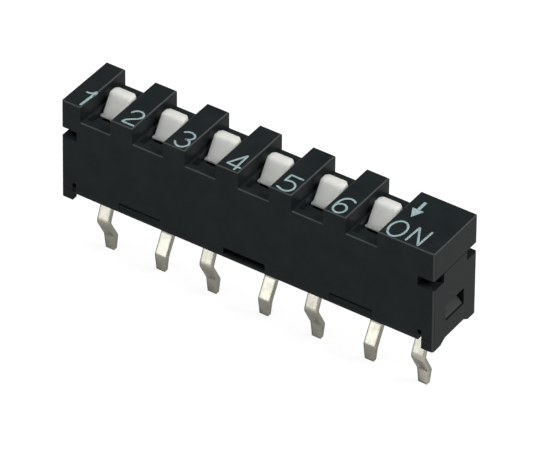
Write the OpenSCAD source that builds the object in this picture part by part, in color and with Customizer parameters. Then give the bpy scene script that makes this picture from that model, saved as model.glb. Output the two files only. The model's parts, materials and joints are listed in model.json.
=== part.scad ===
// Single in-line package slide switch: a row of single-pole switches in one moulded
// housing, with one terminal for each switch and a common terminal at the end of the row.
// Origin: middle of the row, on the plane that the feet stand on.
// +X runs along the row from the first switch to the wide end block, -Y is the ON side.

/* [Row] */
// Number of switches
ways = 6; // [2:1:10]
// Spacing of the switches, and of the terminals
pitch = 2.54; // [2.4:0.01:2.8]
// Distance from each terminal to the middle of its own switch
way_offset = 0.42; // [0.38:0.01:0.5]
// Length of the housing beyond the first and the last terminal
end_overhang = 1.31; // [1.25:0.005:1.45]

/* [Housing] */
// Depth of the housing, front to back
housing_d = 3.15; // [3.1:0.01:3.4]
// Height of the rib tops above the feet
housing_h = 4.86; // [4.6:0.01:5.2]
// Draft of each end wall, from the feet to the rib tops
end_draft = 0.065; // [0.03:0.005:0.1]
// Width of the finger slots between the ribs
slot_w = 1.48; // [1.42:0.01:1.52]
// Depth of the finger slots below the rib tops
slot_depth = 0.76; // [0.65:0.01:0.85]
// Thickness of the deck under the finger slots
deck_t = 1.2; // [0.95:0.01:1.25]
// Thickness of the front and back walls
side_wall = 0.28; // [0.24:0.01:0.32]
// Thickness of the end walls
end_wall = 0.35; // [0.3:0.01:0.42]
// Height of the lower edges of the front and back walls above the feet
wall_lift = 0.33; // [0.28:0.01:0.38]
// Height of the tapered band along the lower edge of the long walls
band_h = 0.25; // [0.15:0.01:0.3]
// Depth of the taper of that band
band_in = 0.05; // [0.02:0.01:0.08]
// Radius of the moulded edges
edge_r = 0.08; // [0.05:0.01:0.1]
// Radius of the upright corners
corner_r = 0.11; // [0.05:0.01:0.12]
// Thickness of the roof left over the cored end block
block_roof = 0.5; // [0.4:0.01:0.7]

/* [Corner notches and seam] */
// Length of each corner notch along the row
notch_l = 0.76; // [0.65:0.01:0.79]
// Depth of each corner notch from the long wall
notch_d = 0.74; // [0.65:0.01:0.8]
// Height of the notches
notch_h = 0.47; // [0.35:0.01:0.55]
// Height of the floor of the notches above the feet
notch_z = 3.05; // [2.95:0.01:3.15]
// Height and depth of the seam line that joins two notches across an end
seam = 0.04; // [0.03:0.01:0.06]

/* [Feet] */
// Length of each foot along the row
foot_l = 0.55; // [0.48:0.01:0.6]
// Depth of each foot, front to back
foot_d = 0.56; // [0.5:0.01:0.62]
// Height of the arch between two feet
arch_h = 0.2; // [0.15:0.01:0.26]
// Run of the slope between a foot and the arch
arch_run = 0.34; // [0.25:0.01:0.4]
// Width of the slit beside each foot
slit_w = 0.17; // [0.12:0.01:0.22]
// Height of the slit above the lower edge of the wall
slit_h = 0.56; // [0.45:0.01:0.62]

/* [Latches] */
// Width of the end windows
end_window_w = 1.32; // [1.2:0.01:1.4]
// Height of the end windows
end_window_h = 0.8; // [0.7:0.01:0.9]
// Height of the lower edge of the end windows above the feet
end_window_z = 1; // [0.9:0.01:1.1]
// Height of the end latches
end_latch_h = 0.42; // [0.3:0.01:0.5]
// Width of the long wall windows
wall_window_w = 2; // [1.8:0.01:2.2]
// Height of the long wall windows
wall_window_h = 0.34; // [0.3:0.01:0.38]
// Height of the sill below the long wall windows
wall_sill = 0.18; // [0.15:0.01:0.24]
// Gap left above each long wall latch
wall_latch_gap = 0.07; // [0.05:0.01:0.12]
// How far the end latches stay behind the outside of the housing
end_latch_inset = 0.05; // [0.04:0.01:0.08]
// How far the long wall latches stay behind the outside of the housing
wall_latch_inset = 0.02; // [0.01:0.005:0.05]
// Gap beside and below each long wall latch
wall_latch_fit = 0.01; // [0.01:0.005:0.03]
// Height of the bevel along the top of each long wall latch
wall_latch_bevel = 0.05; // [0.03:0.01:0.08]

/* [Actuators] */
// Travel of each actuator from OFF to ON
travel = 0.8; // [0.74:0.01:0.82]
// Width of the nub
nub_w = 1.1; // [1:0.01:1.14]
// Distance from the middle of the nub to the top of its slope
nub_front = 0.21; // [0.15:0.01:0.25]
// Distance from the middle of the nub to its upright back
nub_back = 0.25; // [0.2:0.01:0.3]
// Distance from the middle of the nub to the foot of its slope
nub_foot = 0.77; // [0.7:0.01:0.79]
// How far the nub top lies below the rib tops
nub_drop = 0.15; // [0.05:0.01:0.2]
// Radius of the front and back edges of the nub's top
nub_r = 0.1; // [0.05:0.01:0.12]
// Radius of the side edges of the nub's top and slope
nub_side_r = 0.12; // [0.06:0.01:0.16]
// Radius of the upright edges at the back of the nub
nub_corner_r = 0.2; // [0.16:0.01:0.3]
// Width of the recess in which the dust plate slides
recess_w = 1.24; // [1.2:0.01:1.34]
// Width of the dust plate at the foot of the nub
plate_w = 1.12; // [1.06:0.01:1.16]
// Length of the dust plate, front to back
plate_d = 1.68; // [1.6:0.01:1.7]
// Thickness of the dust plate
plate_t = 0.09; // [0.07:0.01:0.12]
// Depth of the top of the dust plate below the floor of the finger slot
plate_drop = 0.23; // [0.15:0.01:0.25]
// Width of the neck between the dust plate and the carrier
neck_w = 0.8; // [0.7:0.01:0.9]
// Distance from the middle of the nub to the front of the neck
neck_front = 0.1; // [0.06:0.01:0.14]
// Distance from the middle of the nub to the back of the neck
neck_back = 0.25; // [0.2:0.01:0.3]
// Width of the room in which each carrier slides
cell_w = 1.6; // [1.4:0.01:1.64]
// Length of the carrier below the deck, front to back
carrier_d = 1.15; // [1:0.01:1.2]
// Height of the carrier
carrier_h = 0.5; // [0.4:0.01:0.6]
// How far the carrier reaches under the deck on each side
catch = 0.12; // [0.08:0.01:0.13]
// Running clearance of the actuators
fit = 0.035; // [0.03:0.005:0.04]
// Clearance between the carrier and the deck
lift_fit = 0.07; // [0.05:0.01:0.09]

/* [Wipers] */
// Thickness of the wiper spring
wiper_t = 0.1; // [0.08:0.01:0.12]
// Width of the wiper spring
wiper_w = 0.5; // [0.4:0.01:0.6]
// Half of the flat that is staked to the carrier
wiper_flat = 0.33; // [0.28:0.01:0.38]
// Gap between the wiper and the long wall at the end of its travel
wiper_gap = 0.075; // [0.04:0.005:0.1]
// Length of the upturned end of each arm
wiper_end = 0.2; // [0.15:0.01:0.25]
// Rise of the upturned ends
wiper_rise = 0.22; // [0.15:0.01:0.25]
// Inside radius of the bends of the wiper
wiper_r = 0.08; // [0.05:0.01:0.1]
// Radius of the stake that holds the wiper
stake_r = 0.11; // [0.08:0.01:0.13]
// Height and overhang of the head of the stake
stake_head = 0.06; // [0.04:0.01:0.08]
// Height left between a contact point and its pad
contact_gap = 0.02; // [0.01:0.005:0.04]

/* [Base] */
// Height of the top of the base above the feet
base_top = 1.55; // [1.5:0.01:1.62]
// Step up from the lower edges of the long walls to the underside of the base
base_step = 0.05; // [0.03:0.01:0.1]
// Clearance between the base and the housing
base_fit = 0.03; // [0.02:0.01:0.05]

/* [Terminals] */
// Thickness of the terminals
lead_t = 0.2; // [0.16:0.01:0.24]
// Width of the terminals
lead_w = 0.58; // [0.5:0.01:0.64]
// Width of the terminals at the tip
tip_w = 0.42; // [0.36:0.01:0.48]
// Reach of the terminals below the feet
lead_reach = 3.13; // [3:0.01:3.5]
// How far the kink stands out from the row
kink = 0.5; // [0.4:0.01:0.6]
// Depth below the feet at which the kink starts
kink_start = 0.3; // [0.2:0.01:0.4]
// Depth of the knee of the kink below the feet
kink_knee = 1.5; // [1.3:0.01:1.7]
// Depth below the feet at which the kink comes back to the row
kink_end = 2.42; // [2.2:0.01:2.6]
// Inside radius of the bends of the terminals
lead_r = 0.15; // [0.1:0.01:0.2]
// How far each contact pad reaches past the contact point at both ends of its travel
pad_margin = 0.1; // [0.06:0.01:0.12]
// Width of each contact pad on either side of the middle of its switch
pad_half = 0.34; // [0.3:0.01:0.4]
// Width of the relief slot between each pad and the bend of its lead
relief = 0.05; // [0.03:0.01:0.08]
// Distance that each contact point slides on the common bar up to the ON place
bar_slide = 0.32; // [0.27:0.01:0.37]

/* [Hidden] */

// Steps in a rounded corner
arc_steps = 4;
// Extra length of a cut beyond the face that it starts from
cut = 1;

housing_l = ways * pitch + 2 * end_overhang;
half_l = housing_l / 2;
half_d = housing_d / 2;
deck_z = housing_h - slot_depth;
deck_under = deck_z - deck_t;
inner_l = half_l - end_wall;
inner_d = half_d - side_wall;

plate_z = deck_z - plate_drop;
nub_z = housing_h - nub_drop;
recess_d = plate_d + travel + 2 * fit;
recess_z = plate_z - plate_t - fit;
// The bars that round the side edges of the nub stand this far over its faces
nub_ease = nub_side_r / 30;
carrier_w = neck_w + 2 * fit + 2 * catch;
carrier_top = deck_under - lift_fit;
carrier_z = carrier_top - carrier_h;
// Distance of each contact point from the middle of the wiper
contact_y = inner_d - travel / 2 - wiper_end - wiper_gap;

base_under = wall_lift + base_step;
lead_mid = lead_t / 2;
pad_z = base_top - lead_mid;
// Distances from the row to the near and far edges of each contact pad and to the common bar
pad_start = contact_y - travel / 2 - pad_margin;
pad_end = contact_y + travel / 2 + pad_margin;
bar_start = contact_y + travel / 2 - bar_slide;
notch_top = notch_z + notch_h;
notch_x = end_x(notch_z) - notch_l;
// The ribs reach down behind the rounded edge of the deck
rib_root = deck_z - 2 * edge_r;
end_latch_out = end_wall - end_latch_inset + base_fit;
wall_latch_out = side_wall - wall_latch_inset + base_fit;
wall_window_z = wall_lift + wall_sill;

// Half of the housing's length at the height z
function end_x(z) = half_l - end_draft * z / housing_h;

function terminal_x(k) = (k - 1 - ways / 2) * pitch;
function way_x(k) = terminal_x(k) + way_offset;

function heading(a, b) = atan2(b[1] - a[1], b[0] - a[0]);
function normal(a) = [-sin(a), cos(a)];
function turn(a, b) = (b - a + 540) % 360 - 180;

// Arc of radius r that rounds the corner b between a and c, offset sideways by h
function corner(a, b, c, r, h = 0) =
    let (
        a0 = heading(a, b),
        th = turn(a0, heading(b, c)),
        s = sign(th),
        q = b - r * tan(abs(th) / 2) * [cos(a0), sin(a0)],
        m = q + s * r * normal(a0)
    )
    [for (j = [0 : arc_steps]) m - s * (r - s * h) * normal(a0 + th * j / arc_steps)];

// Closed outline with every corner rounded by its own radius in r
function rounded(p, r) =
    let (n = len(p))
    [for (i = [0 : n - 1]) each
        r[i] > 0 ? corner(p[(i + n - 1) % n], p[i], p[(i + 1) % n], r[i]) : [p[i]]];

// One side of a strip bent along the points p, at the distance h from its middle line
function strip_side(p, r, h) =
    let (n = len(p))
    concat(
        [p[0] + h * normal(heading(p[0], p[1]))],
        [for (i = [1 : n - 2]) each corner(p[i - 1], p[i], p[i + 1], r, h)],
        [p[n - 1] + h * normal(heading(p[n - 2], p[n - 1]))]
    );

// Outline of a strip of thickness t, bent along the points p with inside radius r
function strip(p, t, r) =
    let (
        left = strip_side(p, r + t / 2, t / 2),
        right = strip_side(p, r + t / 2, -t / 2),
        n = len(right)
    )
    concat(left, [for (i = [n - 1 : -1 : 0]) right[i]]);

function mirrored(p) = [for (i = [len(p) - 1 : -1 : 0]) [-p[i][0], p[i][1]]];

// Extrudes a Y-Z outline along X from x0 to x1
module along_x(x0, x1) {
    translate([x0, 0, 0])
        rotate([90, 0, 90])
            linear_extrude(x1 - x0)
                children();
}

// Extrudes an X-Z outline along Y, the same distance to the front and the back
module along_y(half) {
    rotate([90, 0, 0])
        linear_extrude(2 * half, center = true)
            children();
}

module block(x0, x1, y0, y1, z0, z1) {
    translate([x0, y0, z0])
        cube([x1 - x0, y1 - y0, z1 - z0]);
}

// Block that is centred on y = 0
module bar(x0, x1, half, z0, z1) {
    block(x0, x1, -half, half, z0, z1);
}

module both_ends() {
    children();
    mirror([1, 0, 0]) children();
}

module both_sides() {
    children();
    mirror([0, 1, 0]) children();
}

// ---- Housing ----

// Long body below the finger slots, with a taper along both lower edges
module housing_body() {
    outline = [
        [-half_d + band_in, wall_lift],
        [half_d - band_in, wall_lift],
        [half_d, wall_lift + band_h],
        [half_d, deck_z],
        [-half_d, deck_z],
        [-half_d, wall_lift + band_h],
    ];
    along_x(-half_l - cut, half_l + cut)
        polygon(rounded(outline, [0, 0, 0, edge_r, edge_r, 0]));
}

// End of the housing: two feet with an arch between them
module end_plate() {
    foot_in = half_d - foot_d;
    outline = [
        [-half_d, 0],
        [-foot_in, 0],
        [-foot_in + arch_run, arch_h],
        [foot_in - arch_run, arch_h],
        [foot_in, 0],
        [half_d, 0],
        [half_d, wall_window_z],
        [-half_d, wall_window_z],
    ];
    along_x(half_l - foot_l, half_l + cut)
        polygon(outline);
}

// Comb of ribs that parts the finger slots
module ribs() {
    sides = [for (k = [1 : ways]) each [way_x(k) - slot_w / 2, way_x(k) + slot_w / 2]];
    roots = concat([-end_x(rib_root)], sides, [end_x(rib_root)]);
    tops = concat([-end_x(housing_h)], sides, [end_x(housing_h)]);
    side_outline = [
        [-half_d, rib_root],
        [half_d, rib_root],
        [half_d, housing_h],
        [-half_d, housing_h],
    ];
    intersection() {
        along_y(half_d) {
            for (i = [0 : 2 : len(tops) - 2]) {
                rib = [
                    [roots[i], rib_root],
                    [roots[i + 1], rib_root],
                    [tops[i + 1], housing_h],
                    [tops[i], housing_h],
                ];
                polygon(rounded(rib, [0, 0, edge_r, edge_r]));
            }
        }
        along_x(-half_l, half_l)
            polygon(rounded(side_outline, [0, 0, edge_r, edge_r]));
    }
}

// Upright column that trims one end of the housing to its draft and rounded corners
module end_column() {
    far = -housing_l - 2 * cut;
    plan = [
        [far, -half_d],
        [0, -half_d],
        [0, half_d],
        [far, half_d],
    ];
    translate([half_l, 0, 0])
        rotate([0, -atan(end_draft / housing_h), 0])
            translate([0, 0, -cut])
                linear_extrude(housing_h + 2 * cut)
                    polygon(rounded(plan, [0, corner_r, corner_r, 0]));
}

// Room for the base, open at the bottom
module base_room() {
    bar(-inner_l, inner_l, inner_d, -cut, base_top + base_fit);
}

// Room in which the carrier of one switch slides, slot for its neck and recess for its dust plate
module cell(k) {
    x = way_x(k);
    bar(x - cell_w / 2, x + cell_w / 2, inner_d, base_top, deck_under);
    bar(x - recess_w / 2, x + recess_w / 2, recess_d / 2, recess_z, deck_z + cut);
    block(
        x - neck_w / 2 - fit, x + neck_w / 2 + fit,
        -travel / 2 - neck_front - fit, travel / 2 + neck_back + fit, base_top, plate_z
    );
}

// Core that keeps the wall under the wide block thin
module block_core() {
    wall = (pitch - cell_w) / 2;
    x0 = way_x(ways) + cell_w / 2 + wall;
    bar(x0, notch_x - wall / 2, inner_d - wall / 2, base_top, housing_h - block_roof);
}

module notches() {
    both_ends() both_sides()
        block(notch_x, half_l + cut, half_d - notch_d, half_d + cut, notch_z, notch_top);
}

module seams() {
    both_ends()
        bar(end_x(notch_top) - seam, half_l + cut, half_d - notch_d, notch_top - seam, notch_top);
}

module slits() {
    x1 = half_l - foot_l;
    both_ends() both_sides()
        block(x1 - slit_w, x1, inner_d - cut, half_d + cut, 0, wall_lift + slit_h);
}

// Places along the row of the two latched windows in each long wall
function latch_x() = [-2 * pitch, 2 * pitch];

module latch_windows() {
    both_ends()
        bar(inner_l - cut, half_l + cut, end_window_w / 2, end_window_z, end_window_z + end_window_h);
    for (x = concat(latch_x(), [0])) {
        bar(
            x - wall_window_w / 2, x + wall_window_w / 2, half_d + cut,
            wall_window_z, wall_window_z + wall_window_h
        );
    }
}

module cover() {
    color("#202426")
        difference() {
            intersection() {
                union() {
                    housing_body();
                    both_ends() end_plate();
                    ribs();
                }
                end_column();
                mirror([1, 0, 0]) end_column();
            }
            base_room();
            for (k = [1 : ways]) cell(k);
            block_core();
            notches();
            seams();
            slits();
            latch_windows();
        }
}

// ---- Terminals ----

// Side view of a lead: flat in the base, down through the row and out by way of a kink
module lead(x, flat, side) {
    path = [
        [flat, pad_z],
        [0, pad_z],
        [0, -kink_start],
        [side * kink, -kink_knee],
        [0, -kink_end],
        [0, -lead_reach],
    ];
    front = [
        [x - lead_w / 2, pad_z + lead_t],
        [x - lead_w / 2, -kink_end],
        [x - tip_w / 2, -lead_reach],
        [x + tip_w / 2, -lead_reach],
        [x + lead_w / 2, -kink_end],
        [x + lead_w / 2, pad_z + lead_t],
    ];
    intersection() {
        along_x(x - lead_w / 2, x + lead_w / 2)
            polygon(strip(path, lead_t, lead_r));
        along_y(half_d)
            polygon(front);
    }
}

// Pad beside a lead, parted from the bend of the lead by a relief slot
module contact_pad(x, x_end) {
    slot_x = x + lead_w / 2 + relief;
    bend_end = lead_r + lead_t;
    outline = [
        [x, bend_end],
        [slot_x, bend_end],
        [slot_x, pad_start],
        [x_end, pad_start],
        [x_end, pad_end],
        [x, pad_end],
    ];
    translate([0, 0, base_top - lead_t])
        linear_extrude(lead_t)
            polygon(outline);
}

// Odd leads are kinked to the front, even ones to the back
function kink_side(k) = k % 2 == 1 ? -1 : 1;

module terminal(k) {
    color("#c9c6b4")
        union() {
            lead(terminal_x(k), pad_end, kink_side(k));
            contact_pad(terminal_x(k), way_x(k) + pad_half);
        }
}

module common_terminal() {
    k = ways + 1;
    bar_end = inner_d - base_fit - lead_mid;
    color("#c9c6b4")
        union() {
            lead(terminal_x(k), -bar_end, kink_side(k));
            block(
                way_x(1) - pad_half, terminal_x(k) + lead_w / 2,
                -bar_end, -bar_start, base_top - lead_t, base_top
            );
        }
}

// ---- Base ----

// Wedge on each end that snaps into the end window
module end_latch() {
    x0 = inner_l - base_fit;
    z0 = end_window_z + fit;
    outline = [
        [x0 - base_fit, z0],
        [x0 + end_latch_out, z0],
        [x0 + end_latch_out, z0 + end_latch_inset],
        [x0, z0 + end_latch_h],
        [x0 - base_fit, z0 + end_latch_h],
    ];
    along_y(end_window_w / 2 - 2 * fit)
        polygon(outline);
}

// Wedge on each long side that snaps into a wall window
module wall_latch(x) {
    y0 = inner_d - base_fit;
    z0 = wall_window_z + wall_latch_fit;
    z1 = wall_window_z + wall_window_h - wall_latch_gap;
    half_w = wall_window_w / 2 - wall_latch_fit;
    outline = [
        [y0 - base_fit, z0],
        [y0 + wall_latch_out, z0],
        [y0 + wall_latch_out, z1 - wall_latch_bevel],
        [y0 + wall_latch_out / 2, z1],
        [y0 - base_fit, z1],
    ];
    along_x(x - half_w, x + half_w)
        polygon(outline);
}

module base() {
    l = inner_l - base_fit;
    d = inner_d - base_fit;
    color("#17191a")
        difference() {
            union() {
                bar(-l, l, d, base_under, base_top);
                both_ends() end_latch();
                both_sides() for (x = latch_x()) wall_latch(x);
            }
            for (k = [1 : ways]) terminal(k);
            common_terminal();
        }
}

// ---- Actuators and wipers, drawn in the OFF place ----

function off_y() = travel / 2;

// Bar with two rounded edges, that lies along the nub's top or, tilted by a, along its slope
module nub_bar(a) {
    half = nub_w / 2;
    section = [
        [-half, -plate_d],
        [half, -plate_d],
        [half, nub_ease],
        [-half, nub_ease],
    ];
    translate([0, -nub_front, nub_z])
        rotate([90 + a, 0, 0])
            linear_extrude(2 * plate_d, center = true)
                polygon(rounded(section, [0, 0, nub_side_r, nub_side_r]));
}

// Bar that lies across the nub and rounds its right back corner from above
module nub_diagonal() {
    reach = (nub_w / 2 + nub_back) / sqrt(2) - nub_corner_r / 2;
    section = [
        [-plate_d, -plate_d],
        [reach, -plate_d],
        [reach, nub_ease],
        [-plate_d, nub_ease],
    ];
    translate([0, 0, nub_z])
        rotate([90, 0, 45])
            linear_extrude(2 * plate_d, center = true)
                polygon(rounded(section, [0, 0, nub_side_r, 0]));
}

// Nub with a flat top, a slope to the front and an upright back
module nub() {
    side = [
        [-nub_foot, plate_z],
        [nub_back, plate_z],
        [nub_back, nub_z],
        [-nub_front, nub_z],
    ];
    half = nub_w / 2;
    plan = [
        [-half, -plate_d],
        [half, -plate_d],
        [half, nub_back],
        [-half, nub_back],
    ];
    intersection() {
        along_x(-half, half)
            polygon(rounded(side, [0, 0, nub_r, nub_r]));
        nub_bar(0);
        nub_bar(atan2(nub_z - plate_z, nub_foot - nub_front));
        nub_diagonal();
        mirror([1, 0, 0]) nub_diagonal();
        translate([0, 0, plate_z])
            linear_extrude(nub_z - plate_z)
                polygon(rounded(plan, [0, 0, nub_corner_r, nub_corner_r]));
    }
}

module actuator(k) {
    color("#dfe1db")
        translate([way_x(k), off_y(), 0])
            union() {
                nub();
                bar(-plate_w / 2, plate_w / 2, plate_d / 2, plate_z - plate_t, plate_z);
                block(
                    -neck_w / 2, neck_w / 2, -neck_front, neck_back,
                    carrier_top, plate_z - plate_t
                );
                bar(-carrier_w / 2, carrier_w / 2, carrier_d / 2, carrier_z, carrier_top);
                translate([0, 0, carrier_z - wiper_t])
                    cylinder(h = wiper_t + fit, r = stake_r, $fn = 24);
                translate([0, 0, carrier_z - wiper_t - stake_head])
                    cylinder(h = stake_head, r = stake_r + stake_head, $fn = 24);
            }
}

// Height of the corner of an arm over the lowest point of its rounded contact
function contact_lift(a, b, c) =
    let (
        r = wiper_r + wiper_t / 2,
        a0 = heading(a, b),
        th = turn(a0, heading(b, c))
    )
    r + wiper_t / 2 - r * (cos(a0) - tan(abs(th) / 2) * sin(a0));

module wiper(k) {
    top = carrier_z - wiper_t / 2;
    low = base_top + contact_gap;
    knee = [wiper_flat, top];
    end = [contact_y + wiper_end, low + wiper_rise];
    contact = [contact_y, low + contact_lift(knee, [contact_y, low], end)];
    half = [knee, contact, end];
    color("#d9b35c")
        translate([way_x(k), off_y(), 0])
            difference() {
                along_x(-wiper_w / 2, wiper_w / 2)
                    polygon(strip(concat(mirrored(half), half), wiper_t, wiper_r));
                translate([0, 0, carrier_z - wiper_t - cut])
                    cylinder(h = 2 * cut, r = stake_r, $fn = 24);
            }
}

cover();
base();
common_terminal();
for (k = [1 : ways]) {
    actuator(k);
    wiper(k);
    terminal(k);
}
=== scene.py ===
"""Single in-line package switch: finishes of its pieces, printed legend, floor, light and camera."""
import json
import math

import bpy
from mathutils import Matrix, Vector
from mathutils.bvhtree import BVHTree


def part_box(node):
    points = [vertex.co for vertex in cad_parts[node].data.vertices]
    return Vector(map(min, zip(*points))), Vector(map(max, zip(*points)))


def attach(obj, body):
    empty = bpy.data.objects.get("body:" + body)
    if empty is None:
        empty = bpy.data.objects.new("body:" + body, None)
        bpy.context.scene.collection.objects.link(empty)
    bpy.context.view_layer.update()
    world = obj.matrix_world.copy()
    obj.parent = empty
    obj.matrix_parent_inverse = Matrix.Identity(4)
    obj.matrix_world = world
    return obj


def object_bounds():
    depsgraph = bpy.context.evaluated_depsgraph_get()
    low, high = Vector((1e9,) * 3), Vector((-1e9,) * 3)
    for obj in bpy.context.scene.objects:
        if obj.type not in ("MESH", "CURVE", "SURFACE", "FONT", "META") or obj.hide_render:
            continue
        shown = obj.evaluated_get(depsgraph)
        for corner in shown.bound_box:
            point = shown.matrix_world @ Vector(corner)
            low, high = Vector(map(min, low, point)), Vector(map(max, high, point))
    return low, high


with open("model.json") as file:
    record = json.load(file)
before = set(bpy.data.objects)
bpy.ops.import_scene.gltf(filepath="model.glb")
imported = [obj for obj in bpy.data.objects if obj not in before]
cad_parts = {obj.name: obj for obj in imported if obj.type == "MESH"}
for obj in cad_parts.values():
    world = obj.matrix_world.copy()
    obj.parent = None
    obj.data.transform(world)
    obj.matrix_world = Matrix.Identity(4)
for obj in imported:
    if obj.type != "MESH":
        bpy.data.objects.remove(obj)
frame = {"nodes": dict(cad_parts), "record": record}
cad_low, cad_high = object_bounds()
nodes = frame["nodes"]

MM = 0.001
FRAME_W = 540


# ---- Node helpers ----

def new_material(name):
    """An empty node material with its output."""
    mat = bpy.data.materials.new(name)
    mat.use_nodes = True
    tree = mat.node_tree
    tree.nodes.clear()
    out = tree.nodes.new("ShaderNodeOutputMaterial")
    return mat, tree, out


def add(tree, kind, **settings):
    """A new node with its properties set, and its sockets by name through 'inputs'."""
    inputs = settings.pop("inputs", {})
    node = tree.nodes.new(kind)
    for key, value in settings.items():
        setattr(node, key, value)
    for key, value in inputs.items():
        node.inputs[key].default_value = value
    return node


def noise(tree, vector, scale, detail=3.0, roughness=0.5, distortion=0.0):
    """Noise of a given size in 1/m, read from vector."""
    node = add(tree, "ShaderNodeTexNoise", inputs={
        "Scale": scale, "Detail": detail, "Roughness": roughness, "Distortion": distortion})
    tree.links.new(vector, node.inputs["Vector"])
    return node.outputs["Fac"]


def object_coords(tree, scale=(1, 1, 1)):
    """Object coordinates, stretched by scale."""
    coord = add(tree, "ShaderNodeTexCoord")
    mapping = add(tree, "ShaderNodeMapping", inputs={"Scale": scale})
    tree.links.new(coord.outputs["Object"], mapping.inputs["Vector"])
    return mapping.outputs["Vector"]


def spread(tree, value, low, high, from_low=0.3, from_high=0.7):
    """Maps a value onto the range from low to high."""
    node = add(tree, "ShaderNodeMapRange", inputs={
        "From Min": from_low, "From Max": from_high, "To Min": low, "To Max": high})
    tree.links.new(value, node.inputs["Value"])
    return node.outputs["Result"]


# Places of the colour sockets of a Mix node, which share their names with its other sockets
MIX_FIRST = 6
MIX_SECOND = 7
MIX_RESULT = 2


def blend_colors(tree, factor, first, second):
    """Mix of two colours, each a tuple or a socket, by a factor socket."""
    node = add(tree, "ShaderNodeMix", data_type="RGBA")
    tree.links.new(factor, node.inputs["Factor"])
    for place, value in ((MIX_FIRST, first), (MIX_SECOND, second)):
        if isinstance(value, tuple):
            node.inputs[place].default_value = (*value, 1)
        else:
            tree.links.new(value, node.inputs[place])
    return node.outputs[MIX_RESULT]


def bump(tree, height, distance, strength, below=None):
    """Bump from a height socket, on top of the surface direction below, if one is given."""
    node = add(tree, "ShaderNodeBump", inputs={"Strength": strength, "Distance": distance})
    tree.links.new(height, node.inputs["Height"])
    if below is not None:
        tree.links.new(below, node.inputs["Normal"])
    return node.outputs["Normal"]


# How squarely a face looks along one axis: below the first it is an edge, above the second flat
EDGE_FROM = 0.80
FLAT_FROM = 0.97


def rounded_edges(tree):
    """1 on the rounded edges of an upright, square piece and 0 on its flat faces; it places the
    painted edge highlight.
    """
    coord = add(tree, "ShaderNodeTexCoord")
    length = add(tree, "ShaderNodeVectorMath", operation="ABSOLUTE")
    tree.links.new(coord.outputs["Normal"], length.inputs[0])
    parts = add(tree, "ShaderNodeSeparateXYZ")
    tree.links.new(length.outputs["Vector"], parts.inputs[0])
    largest = parts.outputs["X"]
    for axis in ("Y", "Z"):
        larger = add(tree, "ShaderNodeMath", operation="MAXIMUM")
        tree.links.new(largest, larger.inputs[0])
        tree.links.new(parts.outputs[axis], larger.inputs[1])
        largest = larger.outputs[0]
    return spread(tree, largest, 1, 0, EDGE_FROM, FLAT_FROM)


def principled(tree, out, **inputs):
    """Principled shader with its sockets set."""
    shader = add(tree, "ShaderNodeBsdfPrincipled", inputs=inputs)
    tree.links.new(shader.outputs["BSDF"], out.inputs["Surface"])
    return shader


BEVEL_SAMPLES = 8


def softened_normal(tree, radius):
    """Surface direction that turns gently over the corners within this radius."""
    soft = add(tree, "ShaderNodeBevel", inputs={"Radius": radius}, samples=BEVEL_SAMPLES)
    return soft.outputs["Normal"]


# ---- Finishes ----

def moulded_black(name, dark, light, painted_edge_highlight, rough_low, rough_high, specular):
    """Black thermoplastic with the fine spark-eroded grain of its mould, and a painted highlight: a
    paler colour on its rounded edges.
    """
    cool_gloss = (0.88, 0.98, 1.0, 1)
    grain_height = 0.006 * MM
    mat, tree, out = new_material(name)
    shader = principled(tree, out, **{
        "IOR": 1.5, "Specular IOR Level": specular, "Specular Tint": cool_gloss})
    at = object_coords(tree)
    grain = noise(tree, at, scale=22000, detail=2.0, roughness=0.6)
    cloud = noise(tree, at, scale=900, detail=4.0, roughness=0.6)
    color = blend_colors(tree, spread(tree, cloud, 0, 1), dark, light)
    # Painted highlight: a paler colour on the rounded edges stands in for the light that they catch.
    color = blend_colors(tree, rounded_edges(tree), color, painted_edge_highlight)
    tree.links.new(color, shader.inputs["Base Color"])
    tree.links.new(spread(tree, cloud, rough_low, rough_high), shader.inputs["Roughness"])
    tree.links.new(bump(tree, grain, grain_height, strength=0.35), shader.inputs["Normal"])
    return mat


def slider_white(name):
    """White moulded nylon of the actuators, which lets a little light through, with soft corners."""
    shaded = (0.67, 0.685, 0.655)
    pale = (0.72, 0.73, 0.705)
    light_reach = 0.28 * MM
    corner_radius = 0.40 * MM
    grain_height = 0.004 * MM
    mat, tree, out = new_material(name)
    shader = principled(tree, out, **{
        "IOR": 1.53, "Specular IOR Level": 0.4, "Subsurface Weight": 0.55,
        "Subsurface Radius": (1.0, 0.97, 0.88), "Subsurface Scale": light_reach})
    at = object_coords(tree)
    cloud = noise(tree, at, scale=1600, detail=3.0, roughness=0.55)
    grain = noise(tree, at, scale=16000, detail=2.0, roughness=0.5)
    color = blend_colors(tree, spread(tree, cloud, 0, 1), shaded, pale)
    tree.links.new(color, shader.inputs["Base Color"])
    tree.links.new(spread(tree, cloud, 0.36, 0.46), shader.inputs["Roughness"])
    soft = softened_normal(tree, corner_radius)
    grained = bump(tree, grain, grain_height, strength=0.3, below=soft)
    tree.links.new(grained, shader.inputs["Normal"])
    return mat


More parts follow.
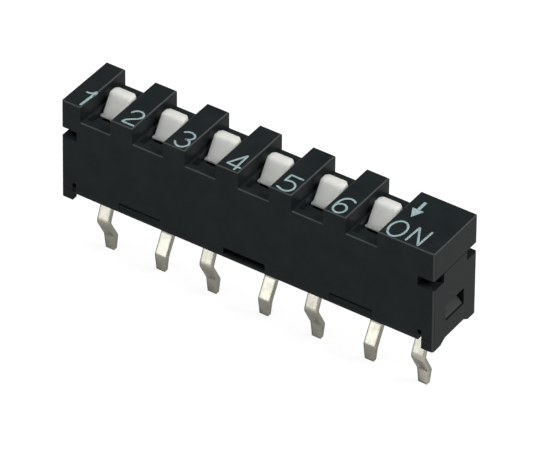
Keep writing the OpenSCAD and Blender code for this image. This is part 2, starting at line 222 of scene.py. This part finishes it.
def tin_plate(name):
    """Bright tin over rolled copper alloy: warm grey, with soft streaks along the strip."""
    dull = (0.74, 0.72, 0.62)
    bright = (0.88, 0.86, 0.75)
    corner_radius = 0.14 * MM
    streak_height = 0.005 * MM
    grain_height = 0.002 * MM
    mat, tree, out = new_material(name)
    shader = principled(tree, out, Metallic=1.0)
    at = object_coords(tree)
    along = object_coords(tree, scale=(1, 1, 0.22))
    streak = noise(tree, along, scale=5200, detail=4.0, roughness=0.6, distortion=0.4)
    patch = noise(tree, at, scale=1500, detail=3.0, roughness=0.6)
    grain = noise(tree, at, scale=15000, detail=2.0, roughness=0.5)
    color = blend_colors(tree, spread(tree, patch, 0, 1), dull, bright)
    tree.links.new(color, shader.inputs["Base Color"])
    tree.links.new(spread(tree, streak, 0.17, 0.30), shader.inputs["Roughness"])
    soft = softened_normal(tree, corner_radius)
    rolled = bump(tree, streak, streak_height, strength=0.35, below=soft)
    grained = bump(tree, grain, grain_height, strength=0.2, below=rolled)
    tree.links.new(grained, shader.inputs["Normal"])
    return mat


def gold_flash(name):
    """Thin gold over the spring strip of the wipers."""
    deep = (0.72, 0.49, 0.2)
    bright = (0.86, 0.63, 0.3)
    streak_height = 0.004 * MM
    mat, tree, out = new_material(name)
    shader = principled(tree, out, Metallic=1.0)
    at = object_coords(tree)
    along = object_coords(tree, scale=(1, 0.2, 1))
    streak = noise(tree, along, scale=7000, detail=3.0, roughness=0.6)
    patch = noise(tree, at, scale=2500, detail=2.0, roughness=0.5)
    color = blend_colors(tree, spread(tree, patch, 0, 1), deep, bright)
    tree.links.new(color, shader.inputs["Base Color"])
    tree.links.new(spread(tree, streak, 0.2, 0.34), shader.inputs["Roughness"])
    tree.links.new(bump(tree, streak, streak_height, strength=0.3), shader.inputs["Normal"])
    return mat


def legend_ink(name):
    """Pale blue-grey printed ink, darker where it is thin over the black."""
    thin = (0.23, 0.33, 0.35)
    thick = (0.37, 0.49, 0.51)
    ink_relief = 0.004 * MM
    mat, tree, out = new_material(name)
    shader = principled(tree, out, **{
        "IOR": 1.48, "Specular IOR Level": 0.35, "Roughness": 0.5})
    coat = noise(tree, object_coords(tree), scale=9000, detail=3.0, roughness=0.6)
    color = blend_colors(tree, spread(tree, coat, 0, 1), thin, thick)
    tree.links.new(color, shader.inputs["Base Color"])
    tree.links.new(bump(tree, coat, ink_relief, strength=0.3), shader.inputs["Normal"])
    return mat


finishes = {
    # The paler edge colour given to each black is a painted highlight on its rounded edges.
    "housing": moulded_black(
        "housing_black", dark=(0.0100, 0.0136, 0.0156), light=(0.0154, 0.0194, 0.0208),
        painted_edge_highlight=(0.070, 0.076, 0.074), rough_low=0.30, rough_high=0.40, specular=0.14),
    "base": moulded_black(
        "base_black", dark=(0.0075, 0.0110, 0.0128), light=(0.0115, 0.0155, 0.0170),
        painted_edge_highlight=(0.05, 0.055, 0.054), rough_low=0.34, rough_high=0.44, specular=0.14),
    "actuator": slider_white("slider_white"),
    "terminal": tin_plate("tin_plate"),
    "wiper": gold_flash("gold_flash"),
}

for entry in frame["record"]["subparts"]:
    mesh = nodes[entry["node"]].data
    mesh.materials.clear()
    mesh.materials.append(finishes[entry["material_slot"]])


# ---- Printed legend ----

# Centre lines of the printed strokes in millimetres, each from the left foot of its own sign.
# "smooth" strokes run in a curve through their points, "straight" ones have corners.
SIGNS = {
    "1": [("smooth", [(0.0, 0.82), (0.13, 0.835), (0.24, 0.90), (0.31, 1.05)]),
          ("straight", [(0.31, 1.05), (0.256, 0.0)])],
    "2": [("smooth", [(0.01, 0.70), (0.07, 0.82), (0.17, 0.90), (0.29, 0.93), (0.42, 0.90),
                      (0.51, 0.82), (0.55, 0.71), (0.52, 0.57), (0.42, 0.45), (0.28, 0.34),
                      (0.14, 0.23), (0.05, 0.12), (0.01, 0.0)]),
          ("straight", [(0.01, 0.0), (0.56, 0.0)])],
    "3": [("smooth", [(0.0, 0.90), (0.10, 0.98), (0.23, 1.01), (0.37, 0.98), (0.48, 0.90),
                      (0.53, 0.79), (0.50, 0.67), (0.42, 0.58), (0.29, 0.54)]),
          ("smooth", [(0.29, 0.54), (0.44, 0.51), (0.54, 0.42), (0.58, 0.29), (0.53, 0.14),
                      (0.42, 0.03), (0.28, 0.0), (0.12, 0.05), (0.0, 0.2)])],
    "4": [("straight", [(0.47, 0.0), (0.44, 1.03), (0.0, 0.2), (0.61, 0.19)])],
    "5": [("straight", [(0.62, 0.98), (0.06, 0.99), (0.04, 0.56)]),
          ("smooth", [(0.04, 0.56), (0.18, 0.63), (0.34, 0.64), (0.51, 0.56), (0.61, 0.38),
                      (0.60, 0.19), (0.49, 0.05), (0.30, 0.0), (0.0, 0.08)])],
    "6": [("smooth", [(0.60, 0.93), (0.48, 1.0), (0.33, 1.02), (0.17, 0.95), (0.06, 0.80),
                      (0.01, 0.60), (0.0, 0.38)]),
          ("ring", (0.275, 0.29, 0.265, 0.29))],
    "O": [("ring", (0.35, 0.507, 0.35, 0.507))],
    "N": [("straight", [(0.0, 0.06), (0.04, 1.0), (0.57, 0.0), (0.61, 1.0)])],
}
# Where each numeral's left foot stands, from the left edge of its rib, and above the front edge
NUMERAL_AT = {"1": (0.64, 0.18), "2": (0.415, 0.21), "3": (0.375, 0.13), "4": (0.335, 0.13),
              "5": (0.27, 0.11), "6": (0.245, 0.11)}
# The same for the letters, from the left edge of the wide block
LETTER_AT = {"O": (0.20, 0.09), "N": (1.185, 0.13)}
# Width and thickness of the printed strokes, and the steps that they are cut into
STROKE = 0.095
INK = 0.008
STEP = 0.04
# Corners of a round stroke end, and knots of a ring
DOT_SIDES = 20
RING_KNOTS = 32
CURVE_RESOLUTION = 8
# How far the ink follows the rounded edge of a rib down
INK_DROP = 0.06
# Distance from the middle of a slider to the rib on its right
HALF_SLOT = 0.74
# Arrow: its middle from the left edge of the block, its ends on the Y axis and its widths
ARROW_MIDDLE = 0.565
ARROW_TAIL = 1.02
ARROW_TIP = -0.075
ARROW_SHAFT = 0.135
ARROW_HEAD_W = 0.53
ARROW_HEAD_L = 0.55


def stroke_tree(name):
    """Geometry Nodes: a flat printed stroke with round ends along every curve."""
    tree = bpy.data.node_groups.new(name, "GeometryNodeTree")
    face = tree.interface
    face.new_socket("Geometry", in_out="INPUT", socket_type="NodeSocketGeometry")
    for label in ("Stroke Width", "Ink Thickness", "Step Length"):
        face.new_socket(label, in_out="INPUT", socket_type="NodeSocketFloat")
    face.new_socket("Ink", in_out="INPUT", socket_type="NodeSocketMaterial")
    face.new_socket("Geometry", in_out="OUTPUT", socket_type="NodeSocketGeometry")
    link = tree.links.new
    given = tree.nodes.new("NodeGroupInput")
    result = tree.nodes.new("NodeGroupOutput")
    normal = add(tree, "GeometryNodeSetCurveNormal", mode="Z_UP")
    link(given.outputs["Geometry"], normal.inputs["Curve"])
    even = add(tree, "GeometryNodeResampleCurve", mode="LENGTH")
    link(normal.outputs[0], even.inputs["Curve"])
    link(given.outputs["Step Length"], even.inputs["Length"])
    section = add(tree, "GeometryNodeCurvePrimitiveQuadrilateral")
    link(given.outputs["Stroke Width"], section.inputs["Width"])
    link(given.outputs["Ink Thickness"], section.inputs["Height"])
    sweep = add(tree, "GeometryNodeCurveToMesh", inputs={"Fill Caps": True})
    link(even.outputs[0], sweep.inputs["Curve"])
    link(section.outputs[0], sweep.inputs["Profile Curve"])
    # Round ends: a disc on each end of each stroke
    radius = add(tree, "ShaderNodeMath", operation="DIVIDE", inputs={1: 2.0})
    link(given.outputs["Stroke Width"], radius.inputs[0])
    dot = add(tree, "GeometryNodeMeshCylinder", inputs={"Vertices": DOT_SIDES})
    link(radius.outputs[0], dot.inputs["Radius"])
    link(given.outputs["Ink Thickness"], dot.inputs["Depth"])
    ends = add(tree, "GeometryNodeCurveEndpointSelection")
    points = add(tree, "GeometryNodeInstanceOnPoints")
    link(normal.outputs[0], points.inputs["Points"])
    link(ends.outputs[0], points.inputs["Selection"])
    link(dot.outputs["Mesh"], points.inputs["Instance"])
    join = add(tree, "GeometryNodeJoinGeometry")
    link(points.outputs[0], join.inputs[0])
    link(sweep.outputs[0], join.inputs[0])
    real = add(tree, "GeometryNodeRealizeInstances")
    link(join.outputs[0], real.inputs[0])
    fine = add(tree, "GeometryNodeSubdivideMesh", inputs={"Level": 1})
    link(real.outputs[0], fine.inputs["Mesh"])
    paint = add(tree, "GeometryNodeSetMaterial")
    link(fine.outputs["Mesh"], paint.inputs["Geometry"])
    link(given.outputs["Ink"], paint.inputs["Material"])
    link(paint.outputs[0], result.inputs[0])
    return tree


def set_input(modifier, label, value):
    """Sets a named input of a Geometry Nodes modifier by its identifier."""
    for item in modifier.node_group.interface.items_tree:
        if item.item_type == "SOCKET" and item.in_out == "INPUT" and item.name == label:
            modifier[item.identifier] = value
            return
    raise KeyError(label)


def add_stroke(curve, kind, points, left, foot, height):
    """Adds one stroke to a curve, with its points from (left, foot) in millimetres."""
    if kind == "ring":
        cx, cy, rx, ry = points
        turns = [2 * math.pi * i / RING_KNOTS for i in range(RING_KNOTS)]
        points = [(cx + rx * math.cos(turn), cy + ry * math.sin(turn)) for turn in turns]
    handle = "VECTOR" if kind == "straight" else "AUTO"
    spline = curve.splines.new("BEZIER")
    spline.bezier_points.add(len(points) - 1)
    spline.use_cyclic_u = kind == "ring"
    spline.resolution_u = CURVE_RESOLUTION
    for knot, (x, y) in zip(spline.bezier_points, points):
        knot.co = ((left + x) * MM, (foot + y) * MM, height)
        knot.handle_left_type = handle
        knot.handle_right_type = handle


def lay_on_housing(name, mesh):
    """Makes a printed mesh a piece that moves with the housing."""
    piece = bpy.data.objects.new(name, mesh)
    bpy.context.scene.collection.objects.link(piece)
    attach(piece, "housing")


def print_legend(name, signs, tree, ink):
    """Prints signs, each with its left foot's place, as one thin mesh that lies on the housing."""
    curve = bpy.data.curves.new(name, "CURVE")
    curve.dimensions = "3D"
    for sign, left, foot in signs:
        for kind, points in SIGNS[sign]:
            add_stroke(curve, kind, points, left, foot, housing_top + INK * MM / 2)
    pattern = bpy.data.objects.new(name + "_strokes", curve)
    bpy.context.scene.collection.objects.link(pattern)
    modifier = pattern.modifiers.new("strokes", "NODES")
    modifier.node_group = tree
    set_input(modifier, "Stroke Width", STROKE * MM)
    set_input(modifier, "Ink Thickness", INK * MM)
    set_input(modifier, "Step Length", STEP * MM)
    set_input(modifier, "Ink", ink)
    depsgraph = bpy.context.evaluated_depsgraph_get()
    mesh = bpy.data.meshes.new_from_object(pattern.evaluated_get(depsgraph))
    mesh.name = name
    bpy.data.objects.remove(pattern)
    down = Vector((0, 0, -1))
    for vertex in mesh.vertices:
        above = Vector((vertex.co.x, vertex.co.y, 1))
        hit = housing_surface.ray_cast(above, down)[0]
        drop = min(housing_top - hit.z, INK_DROP * MM) if hit else 0
        vertex.co.z -= drop
    lay_on_housing(name, mesh)


def print_arrow(name, middle, ink):
    """Solid arrow that points to the ON side, as a thin printed plate."""
    neck = ARROW_TIP + ARROW_HEAD_L
    half_shaft = ARROW_SHAFT / 2
    half_head = ARROW_HEAD_W / 2
    outline = [(middle, ARROW_TIP), (middle + half_head, neck), (middle + half_shaft, neck),
               (middle + half_shaft, ARROW_TAIL), (middle - half_shaft, ARROW_TAIL),
               (middle - half_shaft, neck), (middle - half_head, neck)]
    count = len(outline)
    low = [(x * MM, y * MM, housing_top) for x, y in outline]
    high = [(x * MM, y * MM, housing_top + INK * MM) for x, y in outline]
    lower_face = tuple(reversed(range(count)))
    upper_face = tuple(range(count, 2 * count))
    sides = [(i, (i + 1) % count, (i + 1) % count + count, i + count) for i in range(count)]
    mesh = bpy.data.meshes.new(name)
    mesh.from_pydata(low + high, [], [lower_face, upper_face] + sides)
    mesh.materials.append(ink)
    lay_on_housing(name, mesh)


def surface_of(node):
    """Search tree of a node's faces."""
    mesh = nodes[node].data
    mesh.calc_loop_triangles()
    return BVHTree.FromPolygons([v.co for v in mesh.vertices],
                                [tuple(t.vertices) for t in mesh.loop_triangles])


housing_surface = surface_of("cover")
housing_low, housing_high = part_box("cover")
housing_top = housing_high.z
front = housing_low.y / MM
sliders = [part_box(name) for name in sorted(nodes.keys()) if name.startswith("actuator_")]
middles = [(low.x + high.x) / 2 / MM for low, high in sliders]
rib_left = [housing_low.x / MM] + [x + HALF_SLOT for x in middles[:-1]]
block_left = middles[-1] + HALF_SLOT

ink = legend_ink("legend_ink")
strokes = stroke_tree("printed_stroke")
numerals = [(sign, left + NUMERAL_AT[sign][0], front + NUMERAL_AT[sign][1])
            for sign, left in zip(NUMERAL_AT, rib_left)]
print_legend("legend_numerals", numerals, strokes, ink)
letters = [(sign, block_left + dx, front + dy) for sign, (dx, dy) in LETTER_AT.items()]
print_legend("legend_on", letters, strokes, ink)
print_arrow("legend_arrow", block_left + ARROW_MIDDLE, ink)


# ---- Floor, light and camera ----

# Colour of the floor as it lights the object, as the camera sees it and in reflections
FLOOR_PALE = (0.5, 0.5, 0.5)
FLOOR_SEEN = (0.22, 0.22, 0.22)
FLOOR_IN_GLOSS = (0.46, 0.46, 0.45)
# Glow added for the camera alone, which leaves a faint shadow
FLOOR_GLOW = 0.87
# Strength of the room's light, and of the room in reflections
ROOM_LIGHT = 0.22
ROOM_IN_GLOSS = 0.13
# Gap under the lowest point of the object, and half the length of the floor in metres
FLOOR_GAP = 0.02
FLOOR_HALF = 1.5


def backdrop_white(name):
    """Pale floor: white to the camera apart from a faint shadow, and grey in what is glossy."""
    mat, tree, out = new_material(name)
    path = add(tree, "ShaderNodeLightPath")
    seen = blend_colors(tree, path.outputs["Is Camera Ray"], FLOOR_PALE, FLOOR_SEEN)
    shade = blend_colors(tree, path.outputs["Is Glossy Ray"], seen, FLOOR_IN_GLOSS)
    diffuse = add(tree, "ShaderNodeBsdfDiffuse")
    tree.links.new(shade, diffuse.inputs["Color"])
    glow = add(tree, "ShaderNodeEmission", inputs={"Color": (1, 1, 1, 1)})
    power = add(tree, "ShaderNodeMath", operation="MULTIPLY", inputs={1: FLOOR_GLOW})
    tree.links.new(path.outputs["Is Camera Ray"], power.inputs[0])
    tree.links.new(power.outputs[0], glow.inputs["Strength"])
    both = add(tree, "ShaderNodeAddShader")
    tree.links.new(diffuse.outputs[0], both.inputs[0])
    tree.links.new(glow.outputs[0], both.inputs[1])
    tree.links.new(both.outputs[0], out.inputs["Surface"])
    return mat


floor_z = cad_low.z - FLOOR_GAP * MM
floor_corners = [(x * FLOOR_HALF, y * FLOOR_HALF, floor_z)
                 for x, y in ((-1, -1), (1, -1), (1, 1), (-1, 1))]
floor_mesh = bpy.data.meshes.new("floor")
floor_mesh.from_pydata(floor_corners, [], [(0, 1, 2, 3)])
floor_mesh.materials.append(backdrop_white("backdrop_white"))
floor = bpy.data.objects.new("floor", floor_mesh)
bpy.context.scene.collection.objects.link(floor)

world = bpy.data.worlds.new("studio")
bpy.context.scene.world = world
world.use_nodes = True
sky = world.node_tree
sky.nodes.clear()
sky_out = sky.nodes.new("ShaderNodeOutputWorld")
room = add(sky, "ShaderNodeBackground", inputs={"Color": (0.97, 0.985, 1.0, 1)})
white = add(sky, "ShaderNodeBackground", inputs={"Color": (1, 1, 1, 1), "Strength": 1.0})
path = add(sky, "ShaderNodeLightPath")
sky.links.new(spread(sky, path.outputs["Is Glossy Ray"], ROOM_LIGHT, ROOM_IN_GLOSS, 0, 1),
              room.inputs["Strength"])
choose = add(sky, "ShaderNodeMixShader")
sky.links.new(path.outputs["Is Camera Ray"], choose.inputs["Fac"])
sky.links.new(room.outputs[0], choose.inputs[1])
sky.links.new(white.outputs[0], choose.inputs[2])
sky.links.new(choose.outputs[0], sky_out.inputs["Surface"])


def softbox(name, azimuth, elevation, distance, size, watts, color=(1, 1, 1)):
    """Square area lamp that looks at the origin, with its size and distance in metres."""
    lamp = bpy.data.lights.new(name, "AREA")
    lamp.shape = "SQUARE"
    lamp.size = size
    lamp.energy = watts
    lamp.color = color
    a = math.radians(azimuth)
    e = math.radians(elevation)
    out = Vector((math.sin(a) * math.cos(e), -math.cos(a) * math.cos(e), math.sin(e)))
    piece = bpy.data.objects.new(name, lamp)
    piece.location = out * distance
    piece.rotation_euler = out.to_track_quat("Z", "Y").to_euler()
    bpy.context.scene.collection.objects.link(piece)


softbox("key", azimuth=117, elevation=47, distance=0.55, size=0.20, watts=2.00,
        color=(1.0, 0.97, 0.92))
softbox("front_card", azimuth=-33.5, elevation=6, distance=0.60, size=0.36, watts=0.52)
softbox("front_top", azimuth=0, elevation=68, distance=0.60, size=0.22, watts=1.70)

# Camera: place, right, up and back directions, and focal length in pixels of the frame
eye = Vector((90.297, -136.004, 128.925)) * MM
right = Vector((0.829875, 0.557883, 0.008604))
up = Vector((-0.349078, 0.507116, 0.788022))
back = Vector((0.435260, -0.656963, 0.615588))
focal_px = 5190.9

camera_data = bpy.data.cameras.new("camera")
camera_data.sensor_width = 36
camera_data.sensor_fit = "HORIZONTAL"
camera_data.lens = focal_px / FRAME_W * camera_data.sensor_width
camera_data.clip_start = 0.01
camera_data.clip_end = 10
camera = bpy.data.objects.new("camera", camera_data)
turn = Matrix((right, up, back)).transposed()
camera.matrix_world = Matrix.Translation(eye) @ turn.to_4x4()
bpy.context.scene.collection.objects.link(camera)
bpy.context.scene.camera = camera
bpy.context.scene.view_settings.view_transform = "Standard"
